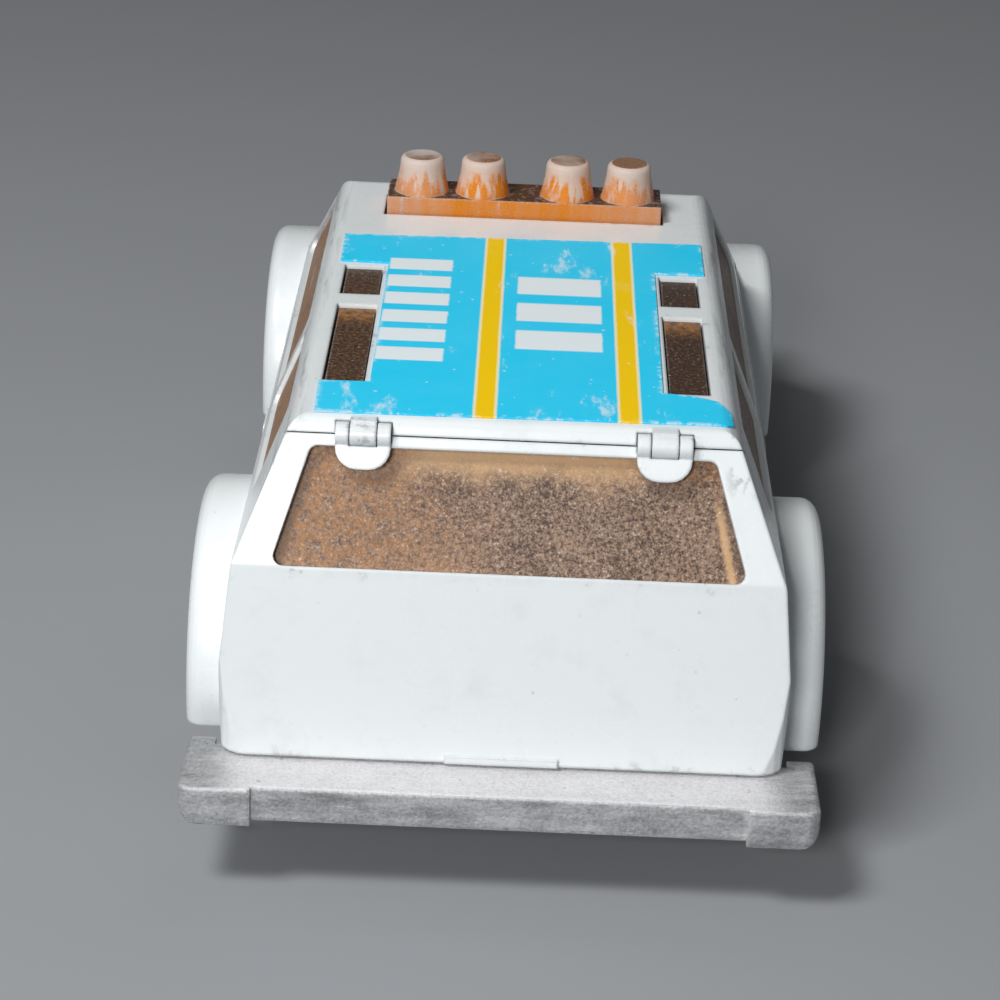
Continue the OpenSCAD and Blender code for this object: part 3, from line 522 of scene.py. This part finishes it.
class CastingSettings(bpy.types.PropertyGroup):
    """Paint and bare metal of the castings."""

    paint: FloatVectorProperty(
        name="Paint", description="White enamel", subtype="COLOR", default=(0.84, 0.88, 0.89)
    )
    smudge: FloatVectorProperty(
        name="Smudge",
        description="Grey of handling marks",
        subtype="COLOR",
        default=(0.62, 0.68, 0.70),
    )
    grime: FloatVectorProperty(
        name="Grime",
        description="Dirt in seams and pits",
        subtype="COLOR",
        default=(0.16, 0.14, 0.12),
    )
    zinc: FloatVectorProperty(
        name="Zinc", description="Bare casting", subtype="COLOR", default=(0.64, 0.645, 0.66)
    )
    zinc_dark: FloatVectorProperty(
        name="Dull zinc",
        description="Oxidised patches",
        subtype="COLOR",
        default=(0.28, 0.285, 0.295),
    )
    # Paler zinc laid on faces that look up
    zinc_upward_faces: FloatVectorProperty(
        name="Worn zinc",
        description="Ledges rubbed smooth",
        subtype="COLOR",
        default=(0.90, 0.88, 0.89),
    )
    # Rubbed zinc and painted highlight on edges
    zinc_rubbed_and_highlight: FloatVectorProperty(
        name="Rubbed zinc", description="Rubbed edges", subtype="COLOR", default=(0.93, 0.93, 0.93)
    )
    chip_reach: FloatProperty(
        name="Chip reach",
        description="How far chips reach from an edge",
        unit="LENGTH",
        default=0.6 * MM,
    )
    soft_edge: FloatProperty(
        name="Soft edge",
        description="Radius that paint gives to edges",
        unit="LENGTH",
        default=0.22 * MM,
    )


class AmberSettings(bpy.types.PropertyGroup):
    """Windows and light bar."""

    pane: FloatVectorProperty(
        name="Pane", description="Windows", subtype="COLOR", default=(0.10, 0.058, 0.044)
    )
    haze: FloatVectorProperty(
        name="Haze", description="Dust on the windows", subtype="COLOR", default=(0.54, 0.36, 0.25)
    )
    # Painted light caught in the rear pane's top edge
    edge_glow: FloatVectorProperty(
        name="Edge glow",
        description="Light caught in the rear pane's top edge",
        subtype="COLOR",
        default=(0.95, 0.60, 0.31),
    )
    # Painted light: the colour of panes where light comes through
    warm: FloatVectorProperty(
        name="Warm pane",
        description="Panes where light gets through",
        subtype="COLOR",
        default=(0.58, 0.26, 0.08),
    )
    roof_pane: FloatVectorProperty(
        name="Roof pane",
        description="Panes in the roof",
        subtype="COLOR",
        default=(0.06, 0.032, 0.02),
    )
    bar: FloatVectorProperty(
        name="Light bar",
        description="Thick amber of the light bar",
        subtype="COLOR",
        default=(0.95, 0.30, 0.02),
    )
    dome_top: FloatVectorProperty(
        name="Dome top",
        description="Flat tops of the domes",
        subtype="COLOR",
        default=(0.30, 0.17, 0.10),
    )
    # Painted light: the colour of the bar where light comes through
    glow: FloatVectorProperty(
        name="Glow",
        description="Amber where light gets through",
        subtype="COLOR",
        default=(0.85, 0.46, 0.30),
    )
    clear: FloatProperty(
        name="Clear",
        description="Share of light that passes through",
        subtype="FACTOR",
        default=0.3,
    )
    roof_from: FloatProperty(
        name="Roof pane from",
        description="Height above which a pane is in the roof",
        unit="LENGTH",
        default=19.4 * MM,
    )
    bar_from: FloatProperty(
        name="Bar from",
        description="Height above which the moulding is the light bar",
        unit="LENGTH",
        default=20.1 * MM,
    )
    bar_top: FloatProperty(
        name="Bar top",
        description="Height of the bar between its domes",
        unit="LENGTH",
        default=21.25 * MM,
    )
    # Colour of rubbed plastic and of the painted highlights on the domes
    frost_and_highlight: FloatVectorProperty(
        name="Frost",
        description="Rubbed and scratched plastic",
        subtype="COLOR",
        default=(0.91, 0.87, 0.82),
    )
    frost_from: FloatProperty(
        name="Frost from",
        description="Height where the domes begin to look rubbed",
        unit="LENGTH",
        default=21.5 * MM,
    )
    frost_full: FloatProperty(
        name="Frost full",
        description="Height where the domes are rubbed white",
        unit="LENGTH",
        default=22.7 * MM,
    )


class LabelSettings(bpy.types.PropertyGroup):
    """Printed roof label."""

    blue: FloatVectorProperty(
        name="Blue", description="Label ground", subtype="COLOR", default=(0.02, 0.67, 1.0)
    )
    blue_pale: FloatVectorProperty(
        name="Faded blue", description="Faded ground", subtype="COLOR", default=(0.10, 0.70, 1.0)
    )
    stripe: FloatVectorProperty(
        name="Stripe", description="Stripe colour", subtype="COLOR", default=(1.0, 0.64, 0.0)
    )
    border: FloatVectorProperty(
        name="Border", description="Stripe border", subtype="COLOR", default=(0.92, 0.86, 0.55)
    )
    white: FloatVectorProperty(
        name="White", description="Bars and worn print", subtype="COLOR", default=(0.88, 0.93, 0.94)
    )
    stripe_left: FloatProperty(
        name="Left stripe",
        description="Centre of the left stripe",
        unit="LENGTH",
        default=-1.4 * MM,
    )
    stripe_right: FloatProperty(
        name="Right stripe",
        description="Centre of the right stripe",
        unit="LENGTH",
        default=5.2 * MM,
    )
    stripe_half: FloatProperty(
        name="Stripe half width",
        description="Half the stripe's width",
        unit="LENGTH",
        default=0.42 * MM,
    )
    border_half: FloatProperty(
        name="Border half width",
        description="Half width over the borders",
        unit="LENGTH",
        default=0.55 * MM,
    )
    lift: FloatProperty(
        name="Lift",
        description="Gap between the label and the roof",
        unit="LENGTH",
        default=0.02 * MM,
    )
    thickness: FloatProperty(
        name="Thickness", description="Thickness of the vinyl", unit="LENGTH", default=0.09 * MM
    )


class GearSettings(bpy.types.PropertyGroup):
    """Seats, wheels, hubs, axles and hinge pins."""

    seat: FloatVectorProperty(
        name="Seats",
        description="Plastic of the seats and dash",
        subtype="COLOR",
        default=(0.045, 0.04, 0.036),
    )
    seat_pale: FloatVectorProperty(
        name="Rubbed seats",
        description="Seats where rubbed",
        subtype="COLOR",
        default=(0.13, 0.12, 0.11),
    )
    wheel: FloatVectorProperty(
        name="Wheels",
        description="Plastic of the wheels",
        subtype="COLOR",
        default=(0.016, 0.016, 0.017),
    )
    wheel_pale: FloatVectorProperty(
        name="Rubbed wheels",
        description="Wheels where rubbed",
        subtype="COLOR",
        default=(0.09, 0.09, 0.09),
    )
    hub: FloatVectorProperty(
        name="Hubs", description="Plating of the hubs", subtype="COLOR", default=(0.82, 0.82, 0.83)
    )
    hub_dull: FloatVectorProperty(
        name="Dull hubs",
        description="Tarnish on the hubs",
        subtype="COLOR",
        default=(0.5, 0.5, 0.5),
    )
    steel: FloatVectorProperty(
        name="Steel",
        description="Axles and hinge pins",
        subtype="COLOR",
        default=(0.62, 0.62, 0.63),
    )
    steel_dull: FloatVectorProperty(
        name="Dull steel",
        description="Tarnish on the steel",
        subtype="COLOR",
        default=(0.35, 0.34, 0.33),
    )


class StageSettings(bpy.types.PropertyGroup):
    """Camera, lamps and floor."""

    pitch: FloatProperty(
        name="Pitch",
        description="Camera's angle below the horizon",
        subtype="ANGLE",
        default=math.radians(25),
    )
    yaw: FloatProperty(
        name="Yaw",
        description="Camera's turn to the left",
        subtype="ANGLE",
        default=math.radians(0.266),
    )
    roll: FloatProperty(
        name="Roll", description="Camera's roll", subtype="ANGLE", default=math.radians(2.3)
    )
    lens: FloatProperty(
        name="Lens", description="Focal length on a 36 mm sensor", unit="CAMERA", default=100.84
    )
    place: FloatVectorProperty(
        name="Place",
        description="Camera position",
        subtype="TRANSLATION",
        default=(0.0, -0.14043, 0.0704),
    )
    floor: FloatVectorProperty(
        name="Floor", description="Floor and backdrop", subtype="COLOR", default=(0.35, 0.362, 0.38)
    )
    key: FloatProperty(name="Key", description="Power of the key lamp", unit="POWER", default=0.4)
    front: FloatProperty(
        name="Front", description="Power of the lamp by the camera", unit="POWER", default=0.34
    )
    fill: FloatProperty(name="Fill", description="Strength of the surrounding light", default=0.08)
    surround: FloatVectorProperty(
        name="Surround",
        description="Colour of the surrounding light",
        subtype="COLOR",
        default=(0.95, 0.98, 1.0),
    )


class ToyCarSettings(bpy.types.PropertyGroup):
    """All settings of the toy car."""

    casting: PointerProperty(type=CastingSettings)
    amber: PointerProperty(type=AmberSettings)
    label: PointerProperty(type=LabelSettings)
    gear: PointerProperty(type=GearSettings)
    stage: PointerProperty(type=StageSettings)


def settings():
    return bpy.context.scene.toy_car


# Operators


class TOYCAR_OT_castings(bpy.types.Operator):
    """Paint the body and tailgate, and finish the bare base and rivets"""

    bl_idname = "toycar.castings"
    bl_label = "Castings"

    def execute(self, context):
        p = settings().casting
        paint = white_enamel(p)
        zinc = bare_zinc(p)
        for node in ("body_shell", "tailgate"):
            dress(node, paint)
        for node in ("base_plate", "front_rivet", "rear_rivet"):
            dress(node, zinc)
        return {"FINISHED"}


class TOYCAR_OT_amber(bpy.types.Operator):
    """Finish the windows, the light bar and the rear pane in amber plastic"""

    bl_idname = "toycar.amber"
    bl_label = "Amber plastic"

    def execute(self, context):
        amber = amber_plastic(settings().amber)
        for node in ("glazing", "tailgate_glass"):
            dress(node, amber)
        return {"FINISHED"}


class TOYCAR_OT_label(bpy.types.Operator):
    """Lay the printed label on the roof, a little crooked, its right wing over the roof's edge"""

    bl_idname = "toycar.label"
    bl_label = "Roof label"

    def execute(self, context):
        p = settings().label
        bm = sheet(LABEL_OUTLINE, LABEL_BENDS)
        laid_on(bm, "body_shell", p.lift)
        bmesh.ops.recalc_face_normals(bm, faces=bm.faces)
        bmesh.ops.solidify(bm, geom=bm.faces[:], thickness=-p.thickness)
        bmesh.ops.recalc_face_normals(bm, faces=bm.faces)
        stand_in(bm, "label_sheet", "car", printed_label(p), "roof_label")
        return {"FINISHED"}


class TOYCAR_OT_running_gear(bpy.types.Operator):
    """Finish the seats, wheels, hubs, axles and hinge pins"""

    bl_idname = "toycar.running_gear"
    bl_label = "Seats and wheels"

    def execute(self, context):
        p = settings().gear
        seats = moulded_plastic("seat_plastic", p.seat, p.seat_pale, rough=0.45)
        tyre = moulded_plastic("wheel_plastic", p.wheel, p.wheel_pale, rough=0.38)
        even, along = (300.0, 300.0, 300.0), (120.0, 2400.0, 2400.0)
        plated = bright_metal("plated_hub", p.hub, p.hub_dull, rough=0.12, lay=even)
        steel = bright_metal("drawn_steel", p.steel, p.steel_dull, rough=0.25, lay=along)
        dress("interior", seats)
        for wheel in WHEELS:
            dress("wheel_" + wheel, tyre)
            dress("hub_" + wheel, plated)
        for node in ("front_axle", "rear_axle", "hinge_pins"):
            dress(node, steel)
        return {"FINISHED"}


class TOYCAR_OT_stage(bpy.types.Operator):
    """Set the floor, lamps, surrounding light and camera"""

    bl_idname = "toycar.stage"
    bl_label = "Stage"

    def execute(self, context):
        p = settings().stage
        scene = context.scene
        bm = bmesh.new()
        bmesh.ops.create_grid(bm, x_segments=1, y_segments=1, size=FLOOR_HALF)
        mesh = bpy.data.meshes.new("floor")
        bm.to_mesh(mesh)
        bm.free()
        mesh.materials.append(plain_floor(p))
        floor = bpy.data.objects.new("floor", mesh)
        scene.collection.objects.link(floor)

        self.lamp("key", place=(-0.105, -0.10, 0.225), size=0.07, power=p.key)
        self.lamp("front", place=(-0.05, -0.26, 0.13), size=0.05, power=p.front)
        self.lamp("rim", place=(0.06, 0.22, 0.22), size=0.16, power=p.key * RIM_SHARE)

        world = bpy.data.worlds.new("surround")
        world.use_nodes = True
        background = world.node_tree.nodes["Background"]
        background.inputs["Color"].default_value = rgba(p.surround)
        background.inputs["Strength"].default_value = p.fill
        scene.world = world

        camera = bpy.data.objects.new("camera", bpy.data.cameras.new("camera"))
        scene.collection.objects.link(camera)
        camera.data.sensor_width = 36.0
        camera.data.lens = p.lens
        camera.data.clip_start = 0.01
        camera.matrix_world = (
            Matrix.Translation(p.place)
            @ Matrix.Rotation(p.yaw, 4, "Z")
            @ Matrix.Rotation(math.pi / 2 - p.pitch, 4, "X")
            @ Matrix.Rotation(p.roll, 4, "Z")
        )
        scene.camera = camera
        scene.view_settings.view_transform = "Standard"
        return {"FINISHED"}

    def lamp(self, name, place, size, power):
        """An area lamp aimed at the middle of the car."""
        data = bpy.data.lights.new(name, "AREA")
        data.size = size
        data.energy = power
        lamp = bpy.data.objects.new(name, data)
        bpy.context.scene.collection.objects.link(lamp)
        turn = (LAMP_AIM - Vector(place)).to_track_quat("-Z", "Y")
        lamp.matrix_world = Matrix.Translation(place) @ turn.to_matrix().to_4x4()


class TOYCAR_PT_panel(bpy.types.Panel):
    """Toy car tools in the sidebar"""

    bl_idname = "TOYCAR_PT_panel"
    bl_label = "Toy Car"
    bl_space_type = "VIEW_3D"
    bl_region_type = "UI"
    bl_category = "Toy Car"

    def draw(self, context):
        for operator in OPERATORS:
            self.layout.operator(operator.bl_idname)
        p = settings()
        for group in (p.casting, p.amber, p.label, p.gear, p.stage):
            box = self.layout.box()
            for key in group.__annotations__:
                box.prop(group, key)


OPERATORS = (
    TOYCAR_OT_castings,
    TOYCAR_OT_amber,
    TOYCAR_OT_label,
    TOYCAR_OT_running_gear,
    TOYCAR_OT_stage,
)
SETTINGS = (
    CastingSettings,
    AmberSettings,
    LabelSettings,
    GearSettings,
    StageSettings,
    ToyCarSettings,
)
CLASSES = SETTINGS + OPERATORS + (TOYCAR_PT_panel,)


def register():
    for item in CLASSES:
        bpy.utils.register_class(item)
    bpy.types.Scene.toy_car = PointerProperty(type=ToyCarSettings)


def unregister():
    del bpy.types.Scene.toy_car
    for item in reversed(CLASSES):
        bpy.utils.unregister_class(item)


def main():
    register()
    bpy.ops.toycar.castings()
    bpy.ops.toycar.amber()
    bpy.ops.toycar.label()
    bpy.ops.toycar.running_gear()
    bpy.ops.toycar.stage()


if __name__ == "__main__":
    main()
